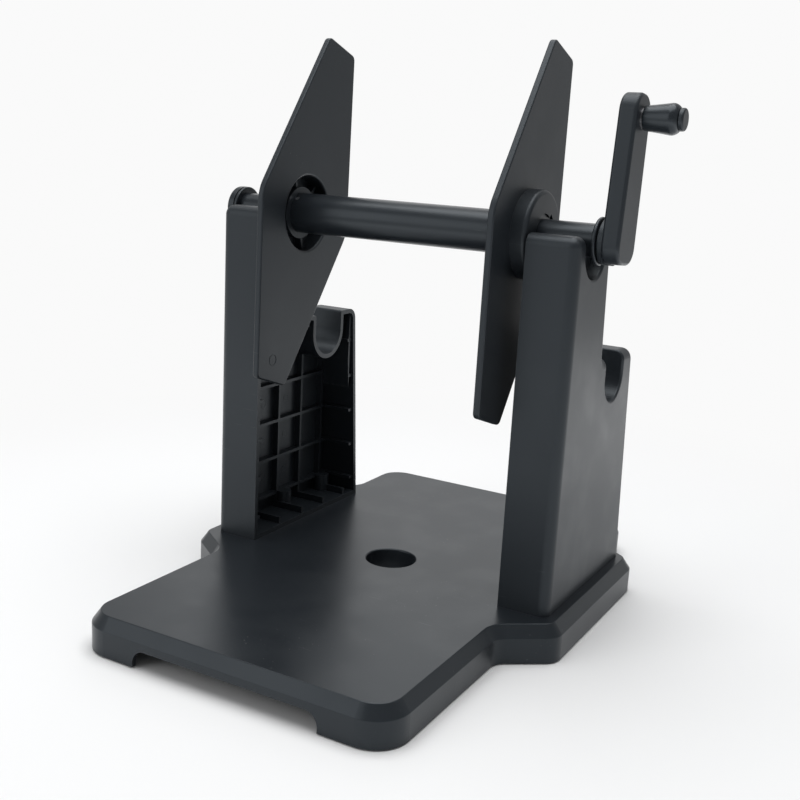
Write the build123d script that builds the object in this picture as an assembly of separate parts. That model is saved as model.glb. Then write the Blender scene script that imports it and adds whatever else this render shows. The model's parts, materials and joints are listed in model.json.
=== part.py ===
from build123d import *
import math
import os

# Spool holder stand, in millimetres.
# Origin: bottom centre of the base. +X runs along the shaft to the crank, +Y to the rear, +Z up.

# ---------------------------------------------------------------- base
BASE_HALF_X = 101.0
BASE_HALF_Y = 175.0
BASE_TOP = 23.0
BASE_SHOULDER_Z = 16.0
BASE_WALL = 3.0
BASE_ROOF = 3.5
BASE_SKIRT_LIFT = 0.8
BASE_CAVITY_BEVEL = 6.0
BASE_CORNER_R = 20.0
BASE_BEVEL_RUN = 5.0
BASE_BEVEL_R = 0.8
EAR_X = 130.0
EAR_FRONT_Y = -34.0
EAR_REAR_Y = 99.0
EAR_RUN_Y = 21.0
EAR_CORNER_R = 12.0
ARCH_HALF_X = 60.0
ARCH_H = 11.4
ARCH_R = 8.0
CENTRE_HOLE_R = 16.0
CENTRE_RIM_R = 1.2
CENTRE_BOSS_R = 19.5
BASE_RIB_T = 2.0
BASE_RIB_BOTTOM = 13.0
BASE_RIB_PITCH = 35.0
BASE_RIB_STEPS_X = 2
BASE_RIB_STEPS_Y = 4

# ---------------------------------------------------------------- feet
FOOT_PAD_R = 8.0
FOOT_PAD_H = 3.0
FOOT_BOSS_R = 10.0
FOOT_POCKET_DEPTH = 1.8
FOOT_X = 84.0
FOOT_Y = 158.0
FOOT_EDGE = 0.4

# ---------------------------------------------------------------- uprights
POST_OUTER_X = 119.5
POST_INNER_X = 88.5
POST_FRONT_Y = -28.0
POST_REAR_TOP_Y = 26.0
POST_REAR_STEP_Y = 31.0
POST_TOP = 241.0
POST_WALL = 3.0
POST_TOP_FRONT_R = 6.0
POST_TOP_REAR_R = 4.0
POST_STEP_R = 3.0
POST_HORN_R = 8.0
POST_EDGE_R = 6.0
LOW_TOP = 166.5
LOW_REAR_TOP_Y = 87.5
LOW_REAR_FOOT_Y = 100.0
UPPER_NOTCH_R = 16.5
UPPER_NOTCH_Z = 233.0
LOWER_NOTCH_R = 15.8
LOWER_NOTCH_Y = 53.0
LOWER_NOTCH_Z = 153.5
NOTCH_EDGE_R = 1.6
POST_RIB_T = 2.0
POST_RIB_H = 4.5
POST_RIB_SETBACK = 1.5
POST_RIB_PITCH_Y = 27.0
POST_RIB_PITCH_Z = 26.5
POST_RIB_FIRST_Y = 3.0
POST_RIB_FIRST_Z = 37.0

# ---------------------------------------------------------------- upright screws
SCREW_Y = (-17.0, 35.0, 84.0)
SCREW_X = 110.0
SCREW_R = 2.0
SCREW_CLEAR = 0.05
SCREW_HEAD_R = 4.0
SCREW_HEAD_H = 3.0
SCREW_HEAD_EDGE_R = 1.2
SCREW_TIP_Z = 35.0
CROSS_W = 0.9
CROSS_L = 4.4
CROSS_DEPTH = 1.5
BASE_BOSS_R = 6.0
BASE_BOSS_BOTTOM = 9.0
POST_BOSS_R = 5.5
POST_BOSS_TOP = 38.0

# ---------------------------------------------------------------- shaft
AXIS_Z = 238.0
TUBE_R = 12.5
TUBE_WALL = 2.6
TUBE_END_X = 86.0
KEY_ANGLE = 40.0
KEY_W = 4.0
KEY_H = 2.0
NECK_R = 9.5
PLUG_DEPTH = 22.0
PLUG_CLEAR = 0.02
PLUG_EDGE = 0.8
PIN_R = 1.5
PIN_X = 76.0
PIN_L = 24.4
RUN_CLEAR = 0.05

# ---------------------------------------------------------------- saddles
SADDLE_OUT_X = 111.0
SADDLE_IN_X = 93.0
SADDLE_TOP = 236.0
SADDLE_FIT = 0.05

# ---------------------------------------------------------------- rings and end cap
COLLAR_R = 13.4
COLLAR_EDGE_R = 0.8
WASHER_IN_X = 120.0
WASHER_T = 2.2
CAP_IN_X = 122.6
CAP_T = 5.0
CAP_EDGE_R = 1.8
CAP_RECESS = 1.4
CAP_SCREW_R = 2.5
CAP_HEAD_R = 5.0
CAP_HEAD_H = 3.2
CAP_HEAD_EDGE_R = 1.6
CAP_HEAD_CLEAR = 0.3
CAP_SCREW_DEPTH = 20.0

# ---------------------------------------------------------------- flanges
FLANGE_TILT = 18.3
FLANGE_HALF_L = 109.5
FLANGE_HALF_W = 50.4
FLANGE_TIP_HALF_W = 15.5
FLANGE_MID_R = 22.0
FLANGE_TIP_R = 4.0
FLANGE_IN_X = 73.5
FLANGE_T = 4.0
FLANGE_EDGE_R = 1.0
HUB_END_X = 87.0
HUB_R = 25.7
HUB_WALL = 2.2
HUB_WEB_T = 2.0
HUB_EDGE_R = 2.6
HUB_TUBE_R = 16.2
HUB_MOUTH_R = 1.5
HUB_TUBE_SETBACK = 5.0
HUB_RIB_COUNT = 6
HUB_RIB_T = 1.8
HUB_RIB_START = 120.0
HUB_RIB_SETBACK = 6.5
BORE_R = TUBE_R + RUN_CLEAR
KEYWAY_CLEAR = 0.8

# ---------------------------------------------------------------- crank
CRANK_LEAN = 5.0
CRANK_IN_X = 126.0
CRANK_OUT_X = 136.5
CRANK_BOTTOM = 226.0
CRANK_TOP = 318.0
CRANK_HALF_LOW = 14.6
CRANK_HALF_TOP = 12.2
CRANK_LOW_R = 10.0
CRANK_TOP_R = 10.5
CRANK_EDGE_R = 2.0
CRANK_MID_X = 129.5
CRANK_HUB_IN_X = 122.9
CRANK_HUB_R = 12.8
CRANK_HUB_EDGE_R = 0.8
STUB_R = 7.0
STUB_FLAT = 5.5
STUB_END_X = 132.0
STUB_END_GAP = 0.4
SET_SCREW_R = 2.0
SET_SCREW_SETBACK = 0.4
SET_SOCKET_R = 1.1
SET_SOCKET_DEPTH = 2.0

# ---------------------------------------------------------------- handle
HANDLE_Z = 305.0
PIN_SHANK_R = 2.5
GRIP_BORE_R = 2.55
HANDLE_WASHER_R = 5.6
HANDLE_WASHER_T = 0.6
GRIP_IN_X = 137.4
GRIP_IN_R = 6.7
GRIP_BELLY_X = 151.6
GRIP_BELLY_R = 8.4
GRIP_SHOULDER_R = 5.0
GRIP_SHOULDER_ARC = 70.0
DISC_IN_X = 157.0
DISC_OUT_X = 159.5
DISC_R = 6.1
DISC_EDGE_R = 1.2
NUT_R = 4.2
NUT_T = 3.0
NUT_SETBACK = 0.2
NUT_CLEAR = 0.1

SIDES = {"left": -1, "right": 1}
TINY = 0.01


# ---------------------------------------------------------------- helpers
def side_plane(x):
    """The plane at X = x whose own x and y are the object's Y and Z."""
    return Plane(origin=(x, 0, 0), x_dir=(0, 1, 0), z_dir=(1, 0, 0))


def rounded_face(points, radii):
    """A closed outline with its own radius at each corner."""
    return make_face(FilletPolyline(*points, radius=radii, close=True))


def bar(x0, x1, radius, y=0.0, z=AXIS_Z):
    """A round bar along X."""
    face = Pos(y, z) * Circle(radius)
    return extrude(side_plane(x0) * face, x1 - x0)


def slab(x0, x1, face):
    """A flat outline in Y and Z made solid from x0 to x1."""
    return extrude(side_plane(x0) * face, x1 - x0)


def upright_bar(x, y, z0, z1, radius):
    """A round bar along Z."""
    return Pos(x, y, z0) * extrude(Circle(radius), z1 - z0)


def block(x0, x1, y0, y1, z0, z1):
    """A rectangular block between two corners."""
    centre = ((x0 + x1) / 2, (y0 + y1) / 2, (z0 + z1) / 2)
    return Pos(*centre) * Box(x1 - x0, y1 - y0, z1 - z0)


def hand(shape, side):
    """The shape as drawn for the right, or mirrored for the left."""
    return shape if SIDES[side] > 0 else mirror(shape, about=Plane.YZ)


def lean(shape):
    """The shape turned about the shaft as the crank stands at rest, its top towards the rear."""
    return shape.rotate(Axis((0, 0, AXIS_Z), (1, 0, 0)), -CRANK_LEAN)


def edges_at_x(shape, x):
    """Edges that lie wholly in the plane X = x."""
    return shape.edges().filter_by_position(Axis.X, x - TINY, x + TINY)


# ---------------------------------------------------------------- base
def base_outline():
    """Plan of the base with its two ears."""
    concave_front = EAR_FRONT_Y - EAR_RUN_Y
    concave_rear = EAR_REAR_Y + EAR_RUN_Y
    right = [
        (BASE_HALF_X, -BASE_HALF_Y),
        (BASE_HALF_X, concave_front),
        (EAR_X, EAR_FRONT_Y),
        (EAR_X, EAR_REAR_Y),
        (BASE_HALF_X, concave_rear),
        (BASE_HALF_X, BASE_HALF_Y),
    ]
    left = [(-x, y) for x, y in reversed(right)]
    radii = [BASE_CORNER_R] + [EAR_CORNER_R] * 4 + [BASE_CORNER_R]
    return rounded_face(right + left, radii + radii)


def arch_cutter():
    """The long low arch through the front skirt and through the rear skirt."""
    face = RectangleRounded(2 * ARCH_HALF_X, 2 * (ARCH_H - BASE_SKIRT_LIFT), ARCH_R)
    plane = Plane(origin=(0, BASE_HALF_Y + BASE_WALL, BASE_SKIRT_LIFT), x_dir=(1, 0, 0), z_dir=(0, -1, 0))
    rear = extrude(plane * face, 2 * BASE_WALL + 1)
    return rear + mirror(rear, about=Plane.XZ)


def bevelled(outline, z0, z_mid, z_top, run):
    """A plan made solid, with a sloping band that runs inwards from z_mid to z_top."""
    slope = math.degrees(math.atan2(run, z_top - z_mid))
    walls = Pos(0, 0, z0) * extrude(outline, z_mid - z0)
    return walls + Pos(0, 0, z_mid) * extrude(outline, z_top - z_mid, taper=slope)


def base_ribs(inside):
    """Grid of stiffening ribs under the roof, kept inside the skirt."""
    ribs = []
    roof_under = BASE_TOP - BASE_ROOF
    half_t = BASE_RIB_T / 2
    for step in range(-BASE_RIB_STEPS_X, BASE_RIB_STEPS_X + 1):
        x = step * BASE_RIB_PITCH
        ribs.append(block(x - half_t, x + half_t, -BASE_HALF_Y, BASE_HALF_Y, BASE_RIB_BOTTOM, roof_under))
    for step in range(-BASE_RIB_STEPS_Y, BASE_RIB_STEPS_Y + 1):
        y = step * BASE_RIB_PITCH
        ribs.append(block(-EAR_X, EAR_X, y - half_t, y + half_t, BASE_RIB_BOTTOM, roof_under))
    return Part() + ribs & inside


def foot_places():
    """Plan positions of the four pads."""
    return [(sx * FOOT_X, sy * FOOT_Y) for sx in (-1, 1) for sy in (-1, 1)]


def make_base():
    """Open-bottomed tray with skirt, ribs, bosses, arches and the central hole."""
    outline = base_outline()
    body = bevelled(outline, BASE_SKIRT_LIFT, BASE_SHOULDER_Z, BASE_TOP, BASE_BEVEL_RUN)
    bevel = body.edges().filter_by_position(Axis.Z, BASE_SHOULDER_Z - TINY, BASE_TOP + TINY)
    level = [e for e in bevel if e.bounding_box().size.Z < TINY]
    body = fillet(level, BASE_BEVEL_R)
    roof_under = BASE_TOP - BASE_ROOF
    inner = offset(outline, -BASE_WALL)
    cavity = bevelled(inner, 0, roof_under - BASE_CAVITY_BEVEL, roof_under, BASE_CAVITY_BEVEL)
    body -= cavity
    body += base_ribs(cavity)
    body += upright_bar(0, 0, BASE_SKIRT_LIFT, roof_under, CENTRE_BOSS_R)
    for x, y in foot_places():
        body += upright_bar(x, y, BASE_SKIRT_LIFT, roof_under, FOOT_BOSS_R)
    for x in (-SCREW_X, SCREW_X):
        for y in SCREW_Y:
            body += upright_bar(x, y, BASE_BOSS_BOTTOM, roof_under, BASE_BOSS_R)
    body -= arch_cutter()
    hole = upright_bar(0, 0, 0, BASE_TOP, CENTRE_HOLE_R)
    body -= hole
    top_edges = body.edges().filter_by_position(Axis.Z, BASE_TOP - TINY, BASE_TOP + TINY)
    rim = top_edges.filter_by(GeomType.CIRCLE).sort_by_distance((0, 0, BASE_TOP))[0]
    body = fillet(rim, CENTRE_RIM_R)
    for x, y in foot_places():
        body -= upright_bar(x, y, 0, BASE_SKIRT_LIFT + FOOT_POCKET_DEPTH, FOOT_PAD_R + SCREW_CLEAR)
    for x in (-SCREW_X, SCREW_X):
        for y in SCREW_Y:
            body -= upright_bar(x, y, 0, BASE_TOP, SCREW_R + SCREW_CLEAR)
    return body


def make_feet():
    """Four round anti-slip pads."""
    pads = []
    for x, y in foot_places():
        top = BASE_SKIRT_LIFT + FOOT_POCKET_DEPTH
        pad = upright_bar(x, y, 0, top, FOOT_PAD_R)
        pad = chamfer(pad.edges().sort_by(Axis.Z)[0], FOOT_EDGE)
        pads.append(pad)
    return Compound(children=pads)


# ---------------------------------------------------------------- uprights
def notch(y, z, radius, top):
    """A U open at the top."""
    slot = Pos(y, (z + top) / 2) * Rectangle(2 * radius, top - z)
    return slot + Pos(y, z) * Circle(radius)


def post_profile():
    """Side view of a post: tall front part, lower rear part, two U notches."""
    points = [
        (POST_FRONT_Y, BASE_TOP),
        (LOW_REAR_FOOT_Y, BASE_TOP),
        (LOW_REAR_TOP_Y, LOW_TOP),
        (POST_REAR_STEP_Y, LOW_TOP),
        (POST_REAR_TOP_Y, POST_TOP),
        (POST_FRONT_Y, POST_TOP),
    ]
    radii = [0, 0, POST_HORN_R, POST_STEP_R, POST_TOP_REAR_R, POST_TOP_FRONT_R]
    face = rounded_face(points, radii)
    face -= notch(0, UPPER_NOTCH_Z, UPPER_NOTCH_R, POST_TOP + 1)
    face -= notch(LOWER_NOTCH_Y, LOWER_NOTCH_Z, LOWER_NOTCH_R, LOW_TOP + 1)
    return face


def post_core():
    """The free middle of a post's recess, clear of the ribs on the skin and on the walls."""
    inset = POST_WALL + POST_RIB_H
    outline = Polyline(
        (POST_FRONT_Y + inset, BASE_TOP + inset),
        (LOW_REAR_FOOT_Y - inset, BASE_TOP + inset),
        (LOW_REAR_TOP_Y - inset, LOW_TOP - inset),
        (POST_REAR_STEP_Y - inset, LOW_TOP - inset),
        (POST_REAR_TOP_Y - inset, POST_TOP),
        (POST_FRONT_Y + inset, POST_TOP),
        close=True,
    )
    return slab(POST_INNER_X, POST_OUTER_X - inset, make_face(outline))


def post_ribs(inside):
    """Low rib grid on the inner side of the outer skin, which carries on up the recess's walls."""
    ribs = []
    x0 = POST_INNER_X + POST_RIB_SETBACK
    x1 = POST_OUTER_X - POST_WALL / 2
    half_t = POST_RIB_T / 2
    y = POST_RIB_FIRST_Y
    while y < LOW_REAR_FOOT_Y:
        ribs.append(block(x0, x1, y - half_t, y + half_t, BASE_TOP, POST_TOP))
        y += POST_RIB_PITCH_Y
    z = POST_RIB_FIRST_Z
    while z < POST_TOP:
        ribs.append(block(x0, x1, POST_FRONT_Y, LOW_REAR_FOOT_Y, z - half_t, z + half_t))
        z += POST_RIB_PITCH_Z
    return (Part() + ribs & inside) - post_core()


def make_post(side):
    """Post with a smooth outer skin, an open ribbed inner side and screw bosses in its foot."""
    profile = post_profile()
    body = slab(POST_INNER_X, POST_OUTER_X, profile)
    outer = edges_at_x(body, POST_OUTER_X)
    foot = outer.filter_by_position(Axis.Z, BASE_TOP - TINY, BASE_TOP + TINY)
    rim = [e for e in outer if e not in foot and not is_notch_edge(e)]
    body = fillet(rim, POST_EDGE_R)
    body = fillet([e for e in edges_at_x(body, POST_OUTER_X) if is_notch_edge(e)], NOTCH_EDGE_R)
    cavity = slab(POST_INNER_X, POST_OUTER_X - POST_WALL, offset(profile, -POST_WALL))
    body -= cavity
    body += post_ribs(cavity)
    for y in SCREW_Y:
        body += upright_bar(SCREW_X, y, BASE_TOP + POST_WALL, POST_BOSS_TOP, POST_BOSS_R)
        body -= upright_bar(SCREW_X, y, BASE_TOP, SCREW_TIP_Z + SCREW_R, SCREW_R)
    return hand(body, side)


def is_notch_edge(edge):
    """True for an outline edge that belongs to one of the U notches."""
    centre = edge.center()
    upper = abs(centre.Y) < UPPER_NOTCH_R + TINY
    upper = upper and centre.Z > UPPER_NOTCH_Z - UPPER_NOTCH_R - TINY
    lower = abs(centre.Y - LOWER_NOTCH_Y) < LOWER_NOTCH_R + TINY
    lower = lower and centre.Z > LOWER_NOTCH_Z - LOWER_NOTCH_R - TINY
    return upper or lower


def cross_recess(depth):
    """Cross-shaped driver recess, cut from z = 0 up to its depth."""
    cross = Rectangle(CROSS_L, CROSS_W) + Rectangle(CROSS_W, CROSS_L)
    return extrude(cross, depth)


def make_post_screws(side):
    """Pan-head screws that come up through the base into a post."""
    screws = []
    head_bottom = BASE_BOSS_BOTTOM - SCREW_HEAD_H
    for y in SCREW_Y:
        head = upright_bar(SCREW_X, y, head_bottom, BASE_BOSS_BOTTOM, SCREW_HEAD_R)
        head = fillet(head.edges().sort_by(Axis.Z)[0], SCREW_HEAD_EDGE_R)
        shank = upright_bar(SCREW_X, y, BASE_BOSS_BOTTOM, SCREW_TIP_Z, SCREW_R - SCREW_CLEAR)
        screws.append(head + shank - Pos(SCREW_X, y, head_bottom) * cross_recess(CROSS_DEPTH))
    return hand(Compound(children=screws), side)


def make_saddle(side):
    """Half-round cradle dropped into the upper notch."""
    radius = UPPER_NOTCH_R - SADDLE_FIT
    above = Pos(0, SADDLE_TOP + radius) * Rectangle(4 * radius, 2 * radius)
    face = notch(0, UPPER_NOTCH_Z, radius, SADDLE_TOP) - above
    face -= Pos(0, AXIS_Z) * Circle(NECK_R + RUN_CLEAR)
    saddle = slab(SADDLE_IN_X, SADDLE_OUT_X, face)
    return hand(saddle, side)


# ---------------------------------------------------------------- shaft
def key_block(x0, x1, height, width):
    """A key along the shaft, at the key's angle above the rear."""
    face = Rot(0, 0, KEY_ANGLE) * Pos((TUBE_R + height) / 2, 0) * Rectangle(TUBE_R + height, width)
    return slab(x0, x1, Pos(0, AXIS_Z) * face)


def cross_bar(x, radius, length):
    """A round bar through the shaft's axis, square to the key."""
    angle = math.radians(KEY_ANGLE + 90)
    plane = Plane(origin=(x, 0, AXIS_Z), z_dir=(0, math.cos(angle), math.sin(angle)))
    return extrude(plane * Circle(radius), length / 2, both=True)


def make_tube():
    """Main shaft: a round tube with one key rib."""
    tube = bar(-TUBE_END_X, TUBE_END_X, TUBE_R)
    tube += key_block(-TUBE_END_X, TUBE_END_X, KEY_H, KEY_W)
    tube -= bar(-TUBE_END_X, TUBE_END_X, TUBE_R - TUBE_WALL)
    for x in (-PIN_X, PIN_X):
        tube -= cross_bar(x, PIN_R, 2 * TUBE_R + 1)
    return tube


def make_journal(side):
    """Plug inside the tube and the neck that turns in the post."""
    plug = bar(TUBE_END_X - PLUG_DEPTH, TUBE_END_X, TUBE_R - TUBE_WALL - PLUG_CLEAR)
    plug = chamfer(plug.edges().sort_by(Axis.X)[0], PLUG_EDGE)
    neck = bar(TUBE_END_X, CAP_IN_X, NECK_R)
    body = plug + neck - cross_bar(PIN_X, PIN_R, 2 * TUBE_R)
    if side == "left":
        body -= bar(CAP_IN_X - CAP_SCREW_DEPTH, CAP_IN_X, CAP_SCREW_R)
    else:
        body += lean(stub(CAP_IN_X, STUB_END_X, STUB_R, STUB_FLAT))
    return hand(body, side)


def stub(x0, x1, radius, flat):
    """Drive stub: a round bar with two flats."""
    face = Circle(radius) & Rectangle(2 * radius, 2 * flat)
    return slab(x0, x1, Pos(0, AXIS_Z) * face)


def make_journal_pin(side):
    """Cross pin through the tube and the plug."""
    return hand(cross_bar(PIN_X, PIN_R - PLUG_CLEAR, PIN_L), side)


def make_thrust_washer(side):
    """Loose ring between a post and what is fixed to the shaft outside it."""
    outer_x = WASHER_IN_X + WASHER_T
    disc = bar(WASHER_IN_X, outer_x, COLLAR_R)
    disc = fillet(disc.edges().filter_by(GeomType.CIRCLE), COLLAR_EDGE_R)
    return hand(disc - bar(WASHER_IN_X, outer_x, NECK_R + RUN_CLEAR), side)


def make_end_cap():
    """Collar fixed to the left neck."""
    outer_x = CAP_IN_X + CAP_T
    cap = bar(CAP_IN_X, outer_x, COLLAR_R)
    cap = fillet(cap.edges().sort_by(Axis.X)[-1], CAP_EDGE_R)
    cap -= bar(CAP_IN_X, outer_x, CAP_SCREW_R + SCREW_CLEAR)
    cap -= bar(outer_x - CAP_RECESS, outer_x, CAP_HEAD_R + CAP_HEAD_CLEAR)
    return hand(cap, "left")


def make_cap_screw():
    """Screw through the end cap into the left neck."""
    seat_x = CAP_IN_X + CAP_T - CAP_RECESS
    head_x = seat_x + CAP_HEAD_H
    head = bar(seat_x, head_x, CAP_HEAD_R)
    head = fillet(head.edges().sort_by(Axis.X)[-1], CAP_HEAD_EDGE_R)
    shank = bar(CAP_IN_X - CAP_SCREW_DEPTH + CAP_SCREW_R, seat_x, CAP_SCREW_R - PLUG_CLEAR)
    recess = Pos(head_x, 0, AXIS_Z) * Rot(0, -90, 0) * cross_recess(CROSS_DEPTH)
    return hand(head + shank - recess, "left")


# ---------------------------------------------------------------- flanges
def flange_outline():
    """Long six-sided plate outline, tilted to the rear at the top."""
    points = [
        (FLANGE_HALF_W, 0),
        (FLANGE_TIP_HALF_W, FLANGE_HALF_L),
        (-FLANGE_TIP_HALF_W, FLANGE_HALF_L),
        (-FLANGE_HALF_W, 0),
        (-FLANGE_TIP_HALF_W, -FLANGE_HALF_L),
        (FLANGE_TIP_HALF_W, -FLANGE_HALF_L),
    ]
    radii = [FLANGE_MID_R, FLANGE_TIP_R, FLANGE_TIP_R] * 2
    return Pos(0, AXIS_Z) * Rot(0, 0, -FLANGE_TILT) * rounded_face(points, radii)


def hub_ribs():
    """Radial ribs between the hub's inner tube and its outer wall."""
    ribs = []
    inner = (BORE_R + HUB_TUBE_R) / 2
    outer = HUB_R - HUB_WALL / 2
    for i in range(HUB_RIB_COUNT):
        angle = HUB_RIB_START - FLANGE_TILT + i * 360 / HUB_RIB_COUNT
        face = Rot(0, 0, angle) * Pos((inner + outer) / 2, 0) * Rectangle(outer - inner, HUB_RIB_T)
        ribs.append(slab(FLANGE_IN_X + HUB_RIB_SETBACK, HUB_END_X - HUB_WEB_T / 2, Pos(0, AXIS_Z) * face))
    return ribs


def make_flange(side):
    """Side plate with a hollow keyed hub on its outer side."""
    plate = slab(FLANGE_IN_X, FLANGE_IN_X + FLANGE_T, flange_outline())
    plate = fillet(edges_at_x(plate, FLANGE_IN_X) + edges_at_x(plate, FLANGE_IN_X + FLANGE_T), FLANGE_EDGE_R)
    hub = bar(FLANGE_IN_X + FLANGE_T / 2, HUB_END_X, HUB_R)
    hub = fillet(hub.edges().sort_by(Axis.X)[-1], HUB_EDGE_R)
    body = plate + hub
    mouth = HUB_R - HUB_WALL
    body -= bar(FLANGE_IN_X, HUB_END_X - HUB_WEB_T, mouth)
    circles = edges_at_x(body, FLANGE_IN_X).filter_by(GeomType.CIRCLE)
    body = fillet([e for e in circles if abs(e.radius - mouth) < TINY], HUB_MOUTH_R)
    body += bar(FLANGE_IN_X + HUB_TUBE_SETBACK, HUB_END_X - HUB_WEB_T / 2, HUB_TUBE_R)
    body += hub_ribs()
    body -= bar(FLANGE_IN_X, HUB_END_X, BORE_R)
    body -= key_block(FLANGE_IN_X, HUB_END_X, KEY_H + KEYWAY_CLEAR, KEY_W + 2 * KEYWAY_CLEAR)
    return hand(body, side)


# ---------------------------------------------------------------- crank
def make_crank():
    """Arm with a hub boss, a blind two-flat socket and the handle's pin hole."""
    points = [
        (-CRANK_HALF_LOW, CRANK_BOTTOM),
        (CRANK_HALF_LOW, CRANK_BOTTOM),
        (CRANK_HALF_TOP, CRANK_TOP),
        (-CRANK_HALF_TOP, CRANK_TOP),
    ]
    face = rounded_face(points, [CRANK_LOW_R, CRANK_LOW_R, CRANK_TOP_R, CRANK_TOP_R])
    arm = slab(CRANK_IN_X, CRANK_OUT_X, face)
    arm = fillet(edges_at_x(arm, CRANK_OUT_X) + edges_at_x(arm, CRANK_IN_X), CRANK_EDGE_R)
    hub = bar(CRANK_HUB_IN_X, CRANK_MID_X, CRANK_HUB_R)
    hub = fillet(hub.edges().sort_by(Axis.X)[0], CRANK_HUB_EDGE_R)
    arm += hub
    arm -= stub(CRANK_HUB_IN_X, STUB_END_X + STUB_END_GAP, STUB_R + PLUG_CLEAR, STUB_FLAT + PLUG_CLEAR)
    arm -= bar(CRANK_IN_X, CRANK_OUT_X, PIN_SHANK_R, z=HANDLE_Z)
    arm -= nut_prism(CRANK_IN_X, CRANK_IN_X + NUT_SETBACK + NUT_T, NUT_R + NUT_CLEAR)
    arm -= upright_bar(CRANK_MID_X, 0, CRANK_BOTTOM, AXIS_Z - STUB_FLAT, SET_SCREW_R)
    return lean(arm)


def make_set_screw():
    """Grub screw from the lower end of the arm onto the stub's flat."""
    low_z = CRANK_BOTTOM + SET_SCREW_SETBACK
    screw = upright_bar(CRANK_MID_X, 0, low_z, AXIS_Z - STUB_FLAT, SET_SCREW_R - PLUG_CLEAR)
    socket = extrude(RegularPolygon(SET_SOCKET_R, 6), SET_SOCKET_DEPTH)
    return lean(screw - Pos(CRANK_MID_X, 0, low_z) * socket)


def nut_prism(x0, x1, radius):
    """Hexagon prism on the handle's axis."""
    return slab(x0, x1, Pos(0, HANDLE_Z) * RegularPolygon(radius, 6))


def make_handle_nut():
    """Nut let into the inner face of the arm."""
    x0 = CRANK_IN_X + NUT_SETBACK
    return lean(nut_prism(x0, x0 + NUT_T, NUT_R) - bar(x0, x0 + NUT_T, PIN_SHANK_R, z=HANDLE_Z))


def make_handle_pin():
    """Pin through the grip; its head is the disc at the outer end."""
    pin = bar(CRANK_IN_X + 2 * NUT_SETBACK, DISC_IN_X, PIN_SHANK_R - PLUG_CLEAR, z=HANDLE_Z)
    disc = bar(DISC_IN_X, DISC_OUT_X, DISC_R, z=HANDLE_Z)
    disc = fillet(disc.edges().sort_by(Axis.X)[-1], DISC_EDGE_R)
    return lean(pin + disc)


def make_handle_washer():
    """Plain washer between the arm and the grip."""
    x1 = CRANK_OUT_X + HANDLE_WASHER_T
    ring = bar(CRANK_OUT_X, x1, HANDLE_WASHER_R, z=HANDLE_Z)
    return lean(ring - bar(CRANK_OUT_X, x1, GRIP_BORE_R, z=HANDLE_Z))


def make_grip():
    """Turned grip: it widens outwards to its belly and closes in a round shoulder."""
    plane = Plane(origin=(0, 0, HANDLE_Z), x_dir=(1, 0, 0), z_dir=(0, -1, 0))
    back = Line((GRIP_IN_X, GRIP_IN_R), (GRIP_BELLY_X, GRIP_BELLY_R))
    shoulder = JernArc(start=back @ 1, tangent=back % 1, radius=GRIP_SHOULDER_R, arc_size=-GRIP_SHOULDER_ARC)
    end = shoulder @ 1
    rest = Polyline((end.X, end.Y), (end.X, 0), (GRIP_IN_X, 0), (GRIP_IN_X, GRIP_IN_R))
    grip = revolve(plane * make_face(back + shoulder + rest), Axis((0, 0, HANDLE_Z), (1, 0, 0)))
    return lean(grip - bar(GRIP_IN_X, end.X, GRIP_BORE_R, z=HANDLE_Z))


# ---------------------------------------------------------------- all pieces
def make_all():
    """Every piece by its node name."""
    pieces = {"base_plate": make_base(), "rubber_feet": make_feet(), "shaft_tube": make_tube()}
    for side in SIDES:
        pieces[f"{side}_upright"] = make_post(side)
        pieces[f"{side}_upright_screws"] = make_post_screws(side)
        pieces[f"{side}_saddle"] = make_saddle(side)
        pieces[f"{side}_journal"] = make_journal(side)
        pieces[f"{side}_journal_pin"] = make_journal_pin(side)
        pieces[f"{side}_thrust_washer"] = make_thrust_washer(side)
        pieces[f"{side}_flange"] = make_flange(side)
    pieces["left_end_cap"] = make_end_cap()
    pieces["end_cap_screw"] = make_cap_screw()
    pieces["crank_arm"] = make_crank()
    pieces["crank_set_screw"] = make_set_screw()
    pieces["handle_nut"] = make_handle_nut()
    pieces["handle_pin"] = make_handle_pin()
    pieces["handle_washer"] = make_handle_washer()
    pieces["handle_grip"] = make_grip()
    return pieces


os.makedirs("parts", exist_ok=True)
for name, shape in make_all().items():
    export_step(shape, f"parts/{name}.step")
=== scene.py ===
import json
import logging
import math
from dataclasses import dataclass
from enum import Enum
from typing import Union

import bmesh
import bpy
from mathutils import Matrix, Vector


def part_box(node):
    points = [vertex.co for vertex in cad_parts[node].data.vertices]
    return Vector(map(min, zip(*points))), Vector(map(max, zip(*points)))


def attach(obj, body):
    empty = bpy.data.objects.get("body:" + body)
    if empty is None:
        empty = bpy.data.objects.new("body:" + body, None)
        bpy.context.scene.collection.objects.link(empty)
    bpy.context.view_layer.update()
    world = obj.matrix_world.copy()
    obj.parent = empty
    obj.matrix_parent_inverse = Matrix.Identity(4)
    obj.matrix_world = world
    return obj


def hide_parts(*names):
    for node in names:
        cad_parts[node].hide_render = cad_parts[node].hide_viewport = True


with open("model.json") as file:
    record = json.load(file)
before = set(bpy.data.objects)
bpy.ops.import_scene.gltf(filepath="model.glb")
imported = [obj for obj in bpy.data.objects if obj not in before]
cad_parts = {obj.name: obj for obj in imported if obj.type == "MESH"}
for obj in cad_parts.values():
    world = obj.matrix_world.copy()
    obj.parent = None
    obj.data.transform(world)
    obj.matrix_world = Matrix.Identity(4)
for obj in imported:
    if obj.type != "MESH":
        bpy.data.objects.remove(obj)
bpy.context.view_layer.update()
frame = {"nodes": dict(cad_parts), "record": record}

MM = 0.001
WELD = 1e-7                             # vertices closer than this, in metres, are one
SHARP_ANGLE = math.radians(38)          # steeper corners stay crisp
WHITE = (1.0, 1.0, 1.0)

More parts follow.
